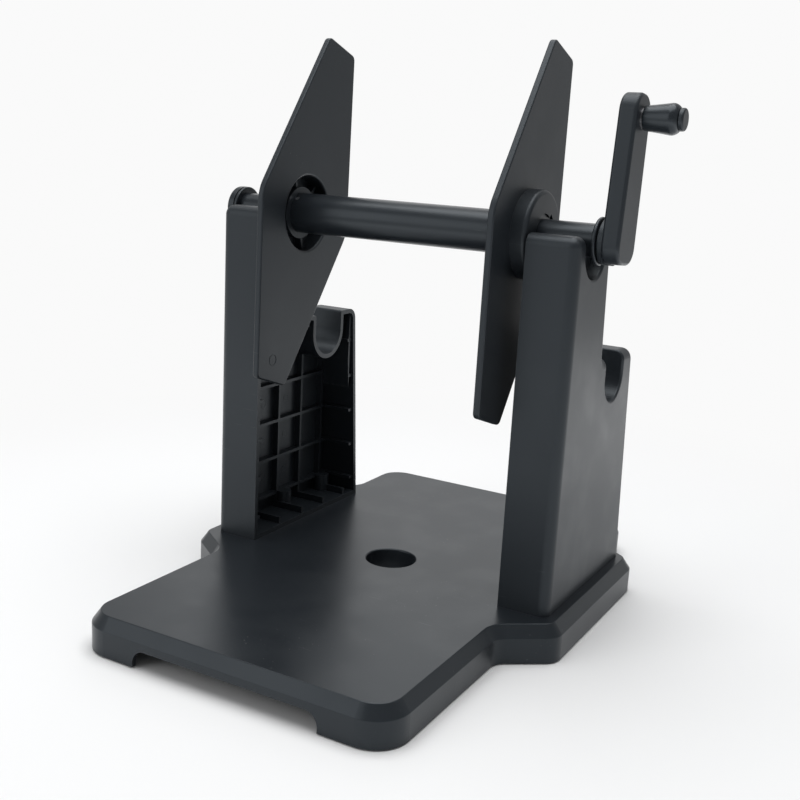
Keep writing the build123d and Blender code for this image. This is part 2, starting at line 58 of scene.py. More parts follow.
Socket = bpy.types.NodeSocket
Tree = bpy.types.NodeTree
Colour = tuple[float, float, float]
Feed = Union[Socket, Colour, float]
Span = tuple[float, float]
Profile = list[tuple[float, float]]

logging.basicConfig(level=logging.INFO, format="%(message)s")
log = logging.getLogger("spool_stand")


class Side(Enum):
    """Which end of the shaft a piece belongs to."""

    LEFT = -1
    RIGHT = 1

    @property
    def word(self) -> str:
        """The side's name as the CAD nodes spell it."""
        return self.name.lower()


class Effect(Enum):
    """Shader effects shared by several finishes."""

    GRAIN = "mould_grain"
    WEAR = "edge_wear"
    HANDLING = "handling_marks"


class Mixed(Enum):
    """What a Mix node mixes."""

    VALUE = "FLOAT"
    COLOUR = "RGBA"


# ------------------------------------------------------------------ node helpers


def feed(tree: Tree, value: Feed, socket: Socket) -> None:
    """Link a socket, or set it to a plain number or colour.

    Args:
        tree: tree the sockets are in.
        value: socket, number or colour to feed in.
        socket: the input to feed.
    """
    if isinstance(value, Socket):
        tree.links.new(value, socket)
    elif isinstance(value, tuple):
        socket.default_value = (*value, 1.0)
    else:
        socket.default_value = value


def smooth_range(tree: Tree, value: Socket, span: Span, result: Span = (0.0, 1.0)) -> Socket:
    """Stretch a value from one range to another, with soft ends.

    Args:
        tree: tree to add the node to.
        value: socket to stretch.
        span: values that become the result's two ends.
        result: the two ends.

    Returns:
        The stretched value.
    """
    made = tree.nodes.new("ShaderNodeMapRange")
    made.interpolation_type = "SMOOTHSTEP"
    tree.links.new(value, made.inputs["Value"])
    made.inputs["From Min"].default_value = span[0]
    made.inputs["From Max"].default_value = span[1]
    made.inputs["To Min"].default_value = result[0]
    made.inputs["To Max"].default_value = result[1]
    return made.outputs["Result"]


def mix(tree: Tree, kind: Mixed, mask: Socket, first: Feed, second: Feed) -> Socket:
    """Mix two values or two colours by a mask.

    Args:
        tree: tree to add the node to.
        kind: values or colours.
        mask: 0 to 1 socket.
        first: socket, number or colour at 0.
        second: socket, number or colour at 1.

    Returns:
        The mixed value or colour.
    """
    made = tree.nodes.new("ShaderNodeMix")
    made.data_type = kind.value
    tree.links.new(mask, made.inputs["Factor"])
    feed(tree, first, made.inputs["A"])
    feed(tree, second, made.inputs["B"])
    return made.outputs["Result"]


def shaded(colour: Colour, factor: float) -> Colour:
    """A colour made lighter or darker."""
    return tuple(channel * factor for channel in colour)


# ------------------------------------------------------------------ shader effects


class ShaderGroup:
    """Builds one node group with named sockets and short helpers for wiring it."""

    def __init__(self, effect: Effect) -> None:
        """Start an empty group.

        Args:
            effect: which shared effect the group holds.
        """
        self.tree = bpy.data.node_groups.new(effect.value, "ShaderNodeTree")
        self.source = self.tree.nodes.new("NodeGroupInput")
        self.sink = self.tree.nodes.new("NodeGroupOutput")

    def takes(self, name: str, default: float) -> None:
        """Add a float input, with the value used where a finish sets none."""
        socket = self.tree.interface.new_socket(name, in_out="INPUT", socket_type="NodeSocketFloat")
        socket.default_value = default

    def gives(self, name: str) -> None:
        """Add a float output."""
        self.tree.interface.new_socket(name, in_out="OUTPUT", socket_type="NodeSocketFloat")

    def given(self, name: str) -> Socket:
        """The socket that carries one of the group's inputs."""
        return self.source.outputs[name]

    def node(self, kind: str, **settings: object) -> bpy.types.Node:
        """Add a node and set its properties.

        Args:
            kind: Blender's node type.
            settings: attribute names and values.

        Returns:
            The new node.
        """
        made = self.tree.nodes.new(kind)
        for key, value in settings.items():
            setattr(made, key, value)
        return made

    def wire(self, start: Socket, end: Socket) -> None:
        """Link two sockets."""
        self.tree.links.new(start, end)

    def place(self) -> Socket:
        """The surface point in metres, in the piece's own frame."""
        return self.node("ShaderNodeTexCoord").outputs["Object"]

    def maths(self, operation: str, first: Feed, second: Feed) -> Socket:
        """Add a Math node fed by sockets or plain numbers.

        Args:
            operation: the Math node's operation.
            first: socket or number for the first input.
            second: socket or number for the second input.

        Returns:
            The node's result socket.
        """
        made = self.node("ShaderNodeMath", operation=operation)
        feed(self.tree, first, made.inputs[0])
        feed(self.tree, second, made.inputs[1])
        return made.outputs[0]

    def ramp(self, value: Socket, span: Span) -> Socket:
        """Stretch a value so that the span's ends become 0 and 1."""
        return smooth_range(self.tree, value, span)

    def noise(self, place: Socket, scale: Feed, octaves: float) -> Socket:
        """Add a noise texture.

        Args:
            place: coordinates in metres.
            scale: socket or number, in waves for each metre.
            octaves: layers of finer detail.

        Returns:
            The noise value.
        """
        made = self.node("ShaderNodeTexNoise")
        self.wire(place, made.inputs["Vector"])
        feed(self.tree, scale, made.inputs["Scale"])
        made.inputs["Detail"].default_value = octaves
        return made.outputs["Fac"]


@dataclass(frozen=True)
class MouldGrain:
    """Spark-eroded mould texture with the slow waviness of a moulded wall."""

    scale: float = 1800.0
    depth: float = 0.00001
    wave_depth: float = 0.00004
    octaves: float = 3.0
    pit_share: float = 0.6              # of the pits' depth, added to the fine grain
    wave_scale: float = 14.0
    wave_octaves: float = 1.0

    def build(self) -> Tree:
        """Wire the group, which gives a height in metres and a 0 to 1 tone.

        Returns:
            The group's tree.
        """
        group = ShaderGroup(Effect.GRAIN)
        group.takes("Grain Scale", self.scale)
        group.takes("Grain Depth", self.depth)
        group.takes("Wave Depth", self.wave_depth)
        group.gives("Height")
        group.gives("Tone")
        place = group.place()
        fine = group.noise(place, group.given("Grain Scale"), self.octaves)
        cells = group.node("ShaderNodeTexVoronoi", feature="SMOOTH_F1")
        group.wire(place, cells.inputs["Vector"])
        group.wire(group.given("Grain Scale"), cells.inputs["Scale"])
        pits = group.maths("MULTIPLY", cells.outputs["Distance"], self.pit_share)
        grain = group.maths("MULTIPLY", group.maths("ADD", fine, pits), group.given("Grain Depth"))
        slow = group.noise(place, self.wave_scale, self.wave_octaves)
        waves = group.maths("MULTIPLY", slow, group.given("Wave Depth"))
        group.wire(group.maths("ADD", grain, waves), group.sink.inputs["Height"])
        group.wire(fine, group.sink.inputs["Tone"])
        return group.tree


@dataclass(frozen=True)
class EdgeWear:
    """A broken mask along outside corners."""

    amount: float = 0.5
    radius: float = 0.7 * MM
    samples: int = 6
    corner: Span = (0.01, 0.16)
    patch_scale: float = 260.0
    patch_octaves: float = 4.0
    patch_span: Span = (0.35, 0.72)

    def build(self) -> Tree:
        """Wire the group, which gives a 0 to 1 mask.

        Returns:
            The group's tree.
        """
        group = ShaderGroup(Effect.WEAR)
        group.takes("Amount", self.amount)
        group.gives("Mask")
        rounded = group.node("ShaderNodeBevel", samples=self.samples)
        rounded.inputs["Radius"].default_value = self.radius
        surface = group.node("ShaderNodeNewGeometry")
        facing = group.node("ShaderNodeVectorMath", operation="DOT_PRODUCT")
        group.wire(rounded.outputs["Normal"], facing.inputs[0])
        group.wire(surface.outputs["Normal"], facing.inputs[1])
        corner = group.ramp(group.maths("SUBTRACT", 1.0, facing.outputs["Value"]), self.corner)
        patches = group.noise(group.place(), self.patch_scale, self.patch_octaves)
        broken = group.maths("MULTIPLY", corner, group.ramp(patches, self.patch_span))
        group.wire(group.maths("MULTIPLY", broken, group.given("Amount")), group.sink.inputs["Mask"])
        return group.tree


@dataclass(frozen=True)
class HandlingMarks:
    """Smudges, fine rubbed lines and a little dust on level faces."""

    smudge_scale: float = 34.0
    smudge_octaves: float = 3.0
    smudge_span: Span = (0.4, 0.75)
    line_turn: tuple[float, float, float] = (0.5, 0.3, 0.7)
    line_stretch: tuple[float, float, float] = (1.0, 26.0, 26.0)
    line_scale: float = 30.0
    line_octaves: float = 2.0
    line_span: Span = (0.7, 0.8)
    rub_scale: float = 12.0
    rub_octaves: float = 1.0
    rub_span: Span = (0.45, 0.7)
    speck_scale: float = 210.0
    speck_span: Span = (0.03, 0.09)
    level_span: Span = (0.6, 0.98)
    dust_scale: float = 22.0
    dust_octaves: float = 2.0
    dust_span: Span = (0.45, 0.75)

    def build(self) -> Tree:
        """Wire the group, which gives three 0 to 1 masks.

        Returns:
            The group's tree.
        """
        group = ShaderGroup(Effect.HANDLING)
        place = group.place()
        smudges = group.noise(place, self.smudge_scale, self.smudge_octaves)
        masks = {
            "Smudge": group.ramp(smudges, self.smudge_span),
            "Rub": self.rub(group, place),
            "Dust": self.dust(group, place),
        }
        for name, mask in masks.items():
            group.gives(name)
            group.wire(mask, group.sink.inputs[name])
        return group.tree

    def rub(self, group: ShaderGroup, place: Socket) -> Socket:
        """Fine lines, all one way, in patches.

        Args:
            group: the group being wired.
            place: coordinates in metres.

        Returns:
            The mask.
        """
        stretch = group.node("ShaderNodeMapping")
        stretch.inputs["Rotation"].default_value = self.line_turn
        stretch.inputs["Scale"].default_value = self.line_stretch
        group.wire(place, stretch.inputs["Vector"])
        lines = group.noise(stretch.outputs["Vector"], self.line_scale, self.line_octaves)
        patches = group.noise(place, self.rub_scale, self.rub_octaves)
        return group.maths("MULTIPLY", group.ramp(lines, self.line_span), group.ramp(patches, self.rub_span))

    def dust(self, group: ShaderGroup, place: Socket) -> Socket:
        """Specks in patches, where a face looks up.

        Args:
            group: the group being wired.
            place: coordinates in metres.

        Returns:
            The mask.
        """
        specks = group.node("ShaderNodeTexVoronoi")
        group.wire(place, specks.inputs["Vector"])
        specks.inputs["Scale"].default_value = self.speck_scale
        spots = group.maths("SUBTRACT", 1.0, group.ramp(specks.outputs["Distance"], self.speck_span))
        surface = group.node("ShaderNodeNewGeometry")
        parts = group.node("ShaderNodeSeparateXYZ")
        group.wire(surface.outputs["Normal"], parts.inputs[0])
        level = group.ramp(parts.outputs["Z"], self.level_span)
        patches = group.ramp(group.noise(place, self.dust_scale, self.dust_octaves), self.dust_span)
        return group.maths("MULTIPLY", group.maths("MULTIPLY", spots, patches), level)


GROUPS = {
    Effect.GRAIN: MouldGrain().build(),
    Effect.WEAR: EdgeWear().build(),
    Effect.HANDLING: HandlingMarks().build(),
}


class Bench:
    """One material being wired: its Principled shader and its group nodes."""

    def __init__(self, name: str) -> None:
        """Create the material.

        Args:
            name: the material's name.
        """
        self.material = bpy.data.materials.new(name)
        self.material.use_nodes = True
        self.tree = self.material.node_tree
        self.shader = self.tree.nodes["Principled BSDF"]

    def sets(self, **values: Feed) -> None:
        """Link or set the shader's own sockets.

        Args:
            values: what to feed in, with underscores for the spaces in the sockets' names.
        """
        for key, value in values.items():
            feed(self.tree, value, self.shader.inputs[key.replace("_", " ")])

    def effect(self, effect: Effect, **values: float) -> bpy.types.Node:
        """Place a shared effect.

        Args:
            effect: which group.
            values: its input values, with underscores for the spaces in their names.

        Returns:
            The group node.
        """
        made = self.tree.nodes.new("ShaderNodeGroup")
        made.node_tree = GROUPS[effect]
        for key, value in values.items():
            made.inputs[key.replace("_", " ")].default_value = value
        return made

    def blend(self, mask: Socket, first: Feed, second: Feed) -> Socket:
        """Mix two colours by a mask."""
        return mix(self.tree, Mixed.COLOUR, mask, first, second)

    def slide(self, mask: Socket, low: Feed, high: Feed) -> Socket:
        """Move a value from low to high by a mask."""
        return mix(self.tree, Mixed.VALUE, mask, low, high)

    def bump(self, height: Socket) -> None:
        """Feed a height in metres to the shader's normal.

        Args:
            height: the height.
        """
        made = self.tree.nodes.new("ShaderNodeBump")
        made.inputs["Distance"].default_value = 1.0
        self.tree.links.new(height, made.inputs["Height"])
        self.sets(Normal=made.outputs["Normal"])


# ------------------------------------------------------------------ finishes


@dataclass(frozen=True)
class MouldedPlastic:
    """Black moulded plastic with eroded grain, rubbed edges and light handling marks."""

    name: str
    rough: float
    colour: Colour = (0.0108, 0.0132, 0.0162)
    worn_colour: Colour = (0.075, 0.08, 0.086)
    dust_colour: Colour = (0.16, 0.165, 0.17)
    specular: float = 0.42
    specular_tint: Colour = (0.84, 0.93, 1.0)
    grain_scale: float = 1800.0
    grain_depth: float = 0.00001
    wave_depth: float = 0.00004
    wear: float = 0.5
    tone: float = 1.35                  # how much lighter the grain's high spots are
    smudge_gloss: float = 0.05          # taken off the roughness
    wear_gloss: float = 0.1

    def build(self) -> bpy.types.Material:
        """Wire the material.

        Returns:
            The material.
        """
        bench = Bench(self.name)
        grain = bench.effect(
            Effect.GRAIN,
            Grain_Scale=self.grain_scale,
            Grain_Depth=self.grain_depth,
            Wave_Depth=self.wave_depth,
        )
        marks = bench.effect(Effect.HANDLING)
        wear = bench.effect(Effect.WEAR, Amount=self.wear)
        base = bench.blend(grain.outputs["Tone"], self.colour, shaded(self.colour, self.tone))
        rubbed = bench.blend(marks.outputs["Rub"], base, self.worn_colour)
        edged = bench.blend(wear.outputs["Mask"], rubbed, self.worn_colour)
        dusty = bench.blend(marks.outputs["Dust"], edged, self.dust_colour)
        smudged = bench.slide(marks.outputs["Smudge"], self.rough, self.rough - self.smudge_gloss)
        polished = bench.slide(wear.outputs["Mask"], smudged, self.rough - self.wear_gloss)
        bench.sets(Base_Color=dusty, Roughness=polished)
        bench.sets(Specular_IOR_Level=self.specular, Specular_Tint=self.specular_tint)
        bench.bump(grain.outputs["Height"])
        return bench.material


@dataclass(frozen=True)
class TurnedSteel:
    """Plain or plated steel with fine tool lines."""

    name: str
    colour: Colour
    rough: float
    grain_scale: float = 5200.0
    grain_depth: float = 0.000004
    wear: float = 0.8
    dark: float = 0.7                   # colour in the tool lines
    bright: float = 1.5                 # colour on worn corners
    smoother: float = 0.06
    rougher: float = 0.08

    def build(self) -> bpy.types.Material:
        """Wire the material.

        Returns:
            The material.
        """
        bench = Bench(self.name)
        grain = bench.effect(
            Effect.GRAIN, Grain_Scale=self.grain_scale, Grain_Depth=self.grain_depth, Wave_Depth=0.0
        )
        wear = bench.effect(Effect.WEAR, Amount=self.wear)
        tone = grain.outputs["Tone"]
        base = bench.blend(tone, shaded(self.colour, self.dark), self.colour)
        edged = bench.blend(wear.outputs["Mask"], base, shaded(self.colour, self.bright))
        rough = bench.slide(tone, self.rough - self.smoother, self.rough + self.rougher)
        bench.sets(Base_Color=edged, Roughness=rough, Metallic=1.0)
        bench.bump(grain.outputs["Height"])
        return bench.material


@dataclass(frozen=True)
class PadRubber:
    """Soft black rubber with a dusty bloom."""

    name: str
    colour: Colour = (0.012, 0.012, 0.013)
    rough: Span = (0.72, 0.9)
    specular: float = 0.3
    bloom: float = 2.2
    grain_scale: float = 2600.0
    grain_depth: float = 0.00003

    def build(self) -> bpy.types.Material:
        """Wire the material.

        Returns:
            The material.
        """
        bench = Bench(self.name)
        grain = bench.effect(
            Effect.GRAIN, Grain_Scale=self.grain_scale, Grain_Depth=self.grain_depth, Wave_Depth=0.0
        )
        marks = bench.effect(Effect.HANDLING)
        dusty = bench.blend(marks.outputs["Smudge"], self.colour, shaded(self.colour, self.bloom))
        rough = bench.slide(grain.outputs["Tone"], *self.rough)
        bench.sets(Base_Color=dusty, Roughness=rough, Specular_IOR_Level=self.specular)
        bench.bump(grain.outputs["Height"])
        return bench.material


FINISHES = (
    MouldedPlastic("base_plastic", 0.33),
    MouldedPlastic("post_plastic", 0.42),
    MouldedPlastic("flange_plastic", 0.44),
    MouldedPlastic("crank_plastic", 0.42),
    MouldedPlastic("shaft_plastic", 0.33, grain_depth=0.000006, wave_depth=0.00001),
    MouldedPlastic("grip_plastic", 0.31, grain_depth=0.000005, wave_depth=0.0),
    MouldedPlastic("bearing_plastic", 0.36, grain_depth=0.000006, wave_depth=0.0),
    PadRubber("foot_rubber"),
    TurnedSteel("screw_steel", (0.32, 0.32, 0.34), 0.34),
    TurnedSteel("pin_steel", (0.48, 0.48, 0.5), 0.28),
)
MATERIALS = {finish.name: finish.build() for finish in FINISHES}


# ------------------------------------------------------------------ mesh helpers


def new_piece(name: str, mesh: bmesh.types.BMesh, slot: str, body: str) -> bpy.types.Object:
    """Turn a bmesh into a finished, smooth-shaded piece that rides on a body.

    Args:
        name: the piece's name.
        mesh: geometry in the part's own frame, in metres.
        slot: material slot, which is also the finish.
        body: CAD body it rides on.

    Returns:
        The new object.
    """
    bmesh.ops.remove_doubles(mesh, verts=mesh.verts, dist=WELD)
    bmesh.ops.recalc_face_normals(mesh, faces=mesh.faces)
    data = bpy.data.meshes.new(name)
    mesh.to_mesh(data)
    mesh.free()
    data.shade_smooth()
    data.set_sharp_from_angle(angle=SHARP_ANGLE)
    piece = bpy.data.objects.new(name, data)
    bpy.context.scene.collection.objects.link(piece)
    data.materials.append(MATERIALS[slot])
    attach(piece, body)
    return piece


def lathe(mesh: bmesh.types.BMesh, profile: Profile, place: Matrix, steps: int) -> None:
    """Turn a profile about an axis and add it to a mesh.

    Args:
        mesh: mesh to add to.
        profile: (distance along the axis, radius) pairs in metres, from one end to the other.
        place: where the axis's start and direction (local +Z) lie in the part's frame.
        steps: divisions round the axis.
    """
    rings = []
    for along, radius in profile:
        if radius < WELD:
            rings.append([mesh.verts.new(place @ Vector((0.0, 0.0, along)))])
            continue
        ring = []
        for step in range(steps):
            angle = 2 * math.pi * step / steps
            point = Vector((radius * math.cos(angle), radius * math.sin(angle), along))
            ring.append(mesh.verts.new(place @ point))
        rings.append(ring)
    for low, high in zip(rings, rings[1:]):
        for step in range(steps):
            following = (step + 1) % steps
            corners = [low[step % len(low)], low[following % len(low)]]
            corners += [high[following % len(high)], high[step % len(high)]]
            mesh.faces.new(list(dict.fromkeys(corners)))    # a triangle next to a point on the axis


def arc(centre: tuple[float, float], radius: float, sweep: Span, steps: int) -> Profile:
    """Points of a circular arc in a profile.

    Args:
        centre: (along, out) of the arc's centre.
        radius: its radius.
        sweep: first and last angle, in degrees from the along direction.
        steps: number of chords.

    Returns:
        (along, out) pairs.
    """
    start, end = sweep
    points = []
    for step in range(steps + 1):
        angle = math.radians(start + (end - start) * step / steps)
        points.append((centre[0] + radius * math.cos(angle), centre[1] + radius * math.sin(angle)))
    return points


def centre_of(node: str) -> Vector:
    """The middle of a CAD node's box."""
    low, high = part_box(node)
    return (Vector(low) + Vector(high)) / 2


def facing_right(place: Vector) -> Matrix:
    """A frame at a point whose +Z runs along the shaft, to the right."""
    return Matrix.Translation(place) @ Matrix.Rotation(math.radians(90), 4, "Y")


def facing_inwards(place: Vector, side: Side) -> Matrix:
    """A frame at a point on one side whose +Z runs along the shaft, to the middle of the stand."""
    return Matrix.Translation(place) @ Matrix.Rotation(math.radians(-90 * side.value), 4, "Y")


# ------------------------------------------------------------------ sub-assemblies


@dataclass
class CadDressing:
    """Gives every CAD node that stays visible the finish of its material slot."""

    hidden: tuple[str, ...] = ()

    def dress(self) -> dict[str, str]:
        """Assign the finishes.

        Returns:
            The finish of each visible node.
        """
        slots = {row["node"]: row["material_slot"] for row in frame["record"]["subparts"]}
        finishes = {}
        for node, piece in frame["nodes"].items():
            if node in self.hidden:
                continue
            piece.data.materials.clear()
            piece.data.materials.append(MATERIALS[slots[node]])
            finishes[node] = slots[node]
        return finishes


@dataclass
class FootPads:
    """Round anti-slip pads with concentric tread rings, in place of the plain CAD pads."""

    node: str = "rubber_feet"
    radius: float = 8.0 * MM
    tread_rings: int = 4
    tread_depth: float = 0.45 * MM
    edge: float = 0.4 * MM
    land_share: float = 0.1             # of the ring pitch, the flat outside each groove
    groove_share: float = 0.35          # of the ring pitch
    flank_share: float = 0.2            # of the groove, its sloped side
    steps: int = 72

    def places(self) -> list[tuple[float, float]]:
        """Plan positions of the pads, from the node's own box.

        Returns:
            (x, y) pairs.
        """
        low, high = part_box(self.node)
        xs = (low[0] + self.radius, high[0] - self.radius)
        ys = (low[1] + self.radius, high[1] - self.radius)
        return [(x, y) for x in xs for y in ys]

    def profile(self, bottom: float, top: float) -> Profile:
        """Half section of a pad, with a groove inside each tread ring.

        Args:
            bottom: height of the tread.
            top: height of the face against the base.

        Returns:
            (height, radius) pairs.
        """
        points = [(top, 0.0), (top, self.radius - self.edge), (top - self.edge, self.radius)]
        points += [(bottom + self.edge, self.radius), (bottom, self.radius - self.edge)]
        pitch = (self.radius - 2 * self.edge) / self.tread_rings
        groove = self.groove_share * pitch
        flank = self.flank_share * groove
        roof = bottom + self.tread_depth
        for ring in range(self.tread_rings, 0, -1):
            outer = (ring - self.land_share) * pitch
            points += [(bottom, outer), (roof, outer - flank)]
            points += [(roof, outer - groove + flank), (bottom, outer - groove)]
        return points + [(bottom, 0.0)]

    def build(self) -> bpy.types.Object:
        """Build the four pads as one piece.

        Returns:
            The piece.
        """
        low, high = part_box(self.node)
        profile = self.profile(low[2], high[2])
        mesh = bmesh.new()
        for x, y in self.places():
            lathe(mesh, profile, Matrix.Translation((x, y, 0.0)), self.steps)
        piece = new_piece("foot_pads", mesh, "foot_rubber", "stand")
        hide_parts(self.node)
        return piece


@dataclass
class Grip:
    """The turning finger grip: it widens outwards to its belly and closes in a round shoulder."""

    node: str = "handle_grip"
    bore: float = 2.55 * MM
    root_radius: float = 6.7 * MM
    root_soft: float = 0.5 * MM
    root_sweep: Span = (160.0, 100.0)
    root_steps: int = 4
    shoulder: float = 5.0 * MM
    shoulder_sweep: Span = (97.0, 27.0)
    shoulder_steps: int = 14
    side_steps: int = 14
    side_power: float = 1.12            # 1 is a straight cone
    face_depth: float = 0.12 * MM
    steps: int = 72

    def side(self, root: tuple[float, float], belly: tuple[float, float]) -> Profile:
        """Points of the slightly hollow side, between its two ends.

        Args:
            root: (along, radius) where the side starts.
            belly: (along, radius) where the shoulder takes over.

        Returns:
            (along, radius) pairs.
        """
        points = []
        for step in range(1, self.side_steps):
            part = step / self.side_steps
            along = root[0] + part * (belly[0] - root[0])
            points.append((along, root[1] + part ** self.side_power * (belly[1] - root[1])))
        return points

    def profile(self, length: float, belly: float) -> Profile:
        """Half section of the grip.

        Args:
            length: distance from the washer to the outer end.
            belly: largest radius.

        Returns:
            (along, radius) pairs.
        """
        reach = self.shoulder * math.cos(math.radians(self.shoulder_sweep[1]))
        centre = (length - reach, belly - self.shoulder)
        shoulder = arc(centre, self.shoulder, self.shoulder_sweep, self.shoulder_steps)
        soft = self.root_soft
        root = arc((soft, self.root_radius - soft), soft, self.root_sweep, self.root_steps)
        face = length - self.face_depth
        flat = shoulder[-1][1]
        points = [(0.0, self.bore), (0.0, self.root_radius - soft)] + root
        points += self.side(root[-1], shoulder[0]) + shoulder
        points += [(length, flat - soft), (face, flat - 3 * soft)]
        return points + [(face, self.bore), (0.0, self.bore)]

    def build(self) -> bpy.types.Object:
        """Build the grip as one turned piece.

        Returns:
            The piece.
        """
        low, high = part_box(self.node)
        middle = centre_of(self.node)
        section = self.profile(high[0] - low[0], (high[2] - low[2]) / 2)
        mesh = bmesh.new()
        lathe(mesh, section, facing_right(Vector((low[0], middle.y, middle.z))), self.steps)
        piece = new_piece("turning_grip", mesh, "grip_plastic", "grip")
        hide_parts(self.node)
        return piece


@dataclass
class MouldMarks:
    """What the mould leaves: ejector-pin discs in the posts' recesses and a gate ring on each plate."""

    pin_radius: float = 2.6 * MM
    pin_steps: int = 40
    proud: float = 0.14 * MM
    sunk: float = 0.3 * MM
    pin_rim: float = 0.35               # of the height that stands proud
    gate_rim: float = 0.45
    gate_radius: float = 3.6 * MM
    gate_steps: int = 48
    gate_drop: float = 90.0 * MM
    gate_forward: float = 33.5 * MM
    post_skin: float = 3.0 * MM
    rib_pitch_y: float = 27.0 * MM
    rib_pitch_z: float = 26.5 * MM
    first_cell: tuple[float, float] = (44.5 * MM, 27.25 * MM)   # back and up from the post's box
    cells: tuple[int, int] = (2, 4)

    def pin_profile(self) -> Profile:
        """Half section of a shallow disc with a raised, softened rim.

        Returns:
            (height above the face, radius) pairs.
        """
        radius, rim = self.pin_radius, self.pin_rim * self.proud
        points = [(-self.sunk, 0.0), (-self.sunk, radius), (self.proud - rim, radius)]
        points += [(self.proud, radius - rim), (self.proud, radius - 3 * rim)]
        return points + [(rim, radius - 5 * rim), (rim, 0.0)]

    def gate_profile(self) -> Profile:
        """Closed section of the gate ring.

        Returns:
            (height above the face, radius) pairs.
        """
        outer, rim = self.gate_radius, self.gate_rim * self.proud
        inner = outer - 4 * rim
        points = [(-self.sunk, inner), (self.proud, inner), (self.proud + rim, outer - 2 * rim)]
        return points + [(self.proud, outer), (-self.sunk, outer), (-self.sunk, inner)]

    def in_post(self, side: Side) -> bpy.types.Object:
        """Discs inside one post, in the middle of some rib cells.

        Args:
            side: which post.

        Returns:
            The piece.
        """
        low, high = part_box(f"{side.word}_upright")
        face = high[0] - self.post_skin if side is Side.RIGHT else low[0] + self.post_skin
        profile = self.pin_profile()
        mesh = bmesh.new()
        for column in range(self.cells[0]):
            for row in range(self.cells[1]):
                y = low[1] + self.first_cell[0] + column * self.rib_pitch_y
                z = low[2] + self.first_cell[1] + row * self.rib_pitch_z
                lathe(mesh, profile, facing_inwards(Vector((face, y, z)), side), self.pin_steps)
        return new_piece(f"{side.word}_ejector_marks", mesh, "post_plastic", "stand")

    def on_plate(self, side: Side) -> bpy.types.Object:
        """The gate ring low on the inner face of one side plate.

        Args:
            side: which plate.

        Returns:
            The piece.
        """
        node = f"{side.word}_flange"
        low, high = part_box(node)
        face = low[0] if side is Side.RIGHT else high[0]
        middle = centre_of(node)
        place = Vector((face, middle.y - self.gate_forward, middle.z - self.gate_drop))
        mesh = bmesh.new()
        lathe(mesh, self.gate_profile(), facing_inwards(place, side), self.gate_steps)
        return new_piece(f"{side.word}_gate_ring", mesh, "flange_plastic", f"{side.word}_side_plate")

    def build(self) -> list[bpy.types.Object]:
        """Add the marks on both sides.

        Returns:
            The pieces.
        """
        return [mark(side) for side in Side for mark in (self.in_post, self.on_plate)]


# ------------------------------------------------------------------ studio


@dataclass(frozen=True)
class Softbox:
    """One square area lamp."""

    name: str
    place: tuple[float, float, float]
    size: float
    power: float

    def build(self, target: Vector) -> None:
        """Hang the lamp and aim it.

        Args:
            target: the point it looks at.
        """
        light = bpy.data.lights.new(self.name, "AREA")
        light.shape = "SQUARE"
        light.size = self.size
        light.energy = self.power
        lamp = bpy.data.objects.new(self.name, light)
        bpy.context.scene.collection.objects.link(lamp)
        turn = (target - Vector(self.place)).to_track_quat("-Z", "Y").to_matrix().to_4x4()
        lamp.matrix_world = Matrix.Translation(self.place) @ turn


@dataclass
class PaperFloor:
    """A wide pale floor: paper near the object, which fades into the backdrop's own brightness."""

    half: float = 6.0                           # metres, half the floor's edge
    colour: Colour = (0.84, 0.845, 0.85)
    rough: float = 0.9
    specular: float = 0.1
    paper_fades: Span = (0.28, 0.6)             # metres from the object
    reflection_fades: Span = (0.7, 1.1)
    reflection: Span = (1.75, 0.65)             # strength in reflections, near and far

    def build(self, backdrop: float) -> bpy.types.Object:
        """Lay the floor.

        Args:
            backdrop: brightness that the camera sees far out.

        Returns:
            The floor.
        """
        mesh = bmesh.new()
        corners = [(-self.half, -self.half), (self.half, -self.half)]
        corners += [(self.half, self.half), (-self.half, self.half)]
        mesh.faces.new([mesh.verts.new((x, y, 0.0)) for x, y in corners])
        data = bpy.data.meshes.new("studio_floor")
        mesh.to_mesh(data)
        mesh.free()
        piece = bpy.data.objects.new("studio_floor", data)
        bpy.context.scene.collection.objects.link(piece)
        data.materials.append(self.material(backdrop))
        return piece

    def material(self, backdrop: float) -> bpy.types.Material:
        """Paper that turns into a light source further out.

        Args:
            backdrop: brightness that the camera sees far out.

        Returns:
            The material.
        """
        bench = Bench("studio_floor")
        bench.sets(Base_Color=self.colour, Roughness=self.rough, Specular_IOR_Level=self.specular)
        tree = bench.tree
        place = tree.nodes.new("ShaderNodeTexCoord")
        length = tree.nodes.new("ShaderNodeVectorMath")
        length.operation = "LENGTH"
        tree.links.new(place.outputs["Object"], length.inputs[0])
        far = smooth_range(tree, length.outputs["Value"], self.paper_fades)
        reflected = smooth_range(tree, length.outputs["Value"], self.reflection_fades, self.reflection)
        path = tree.nodes.new("ShaderNodeLightPath")
        glow = tree.nodes.new("ShaderNodeEmission")
        feed(tree, WHITE, glow.inputs["Color"])
        strength = mix(tree, Mixed.VALUE, path.outputs["Is Camera Ray"], reflected, backdrop)
        tree.links.new(strength, glow.inputs["Strength"])
        joined = tree.nodes.new("ShaderNodeMixShader")
        tree.links.new(far, joined.inputs["Fac"])
        tree.links.new(bench.shader.outputs["BSDF"], joined.inputs[1])
        tree.links.new(glow.outputs["Emission"], joined.inputs[2])
        tree.links.new(joined.outputs["Shader"], tree.nodes["Material Output"].inputs["Surface"])
        return bench.material


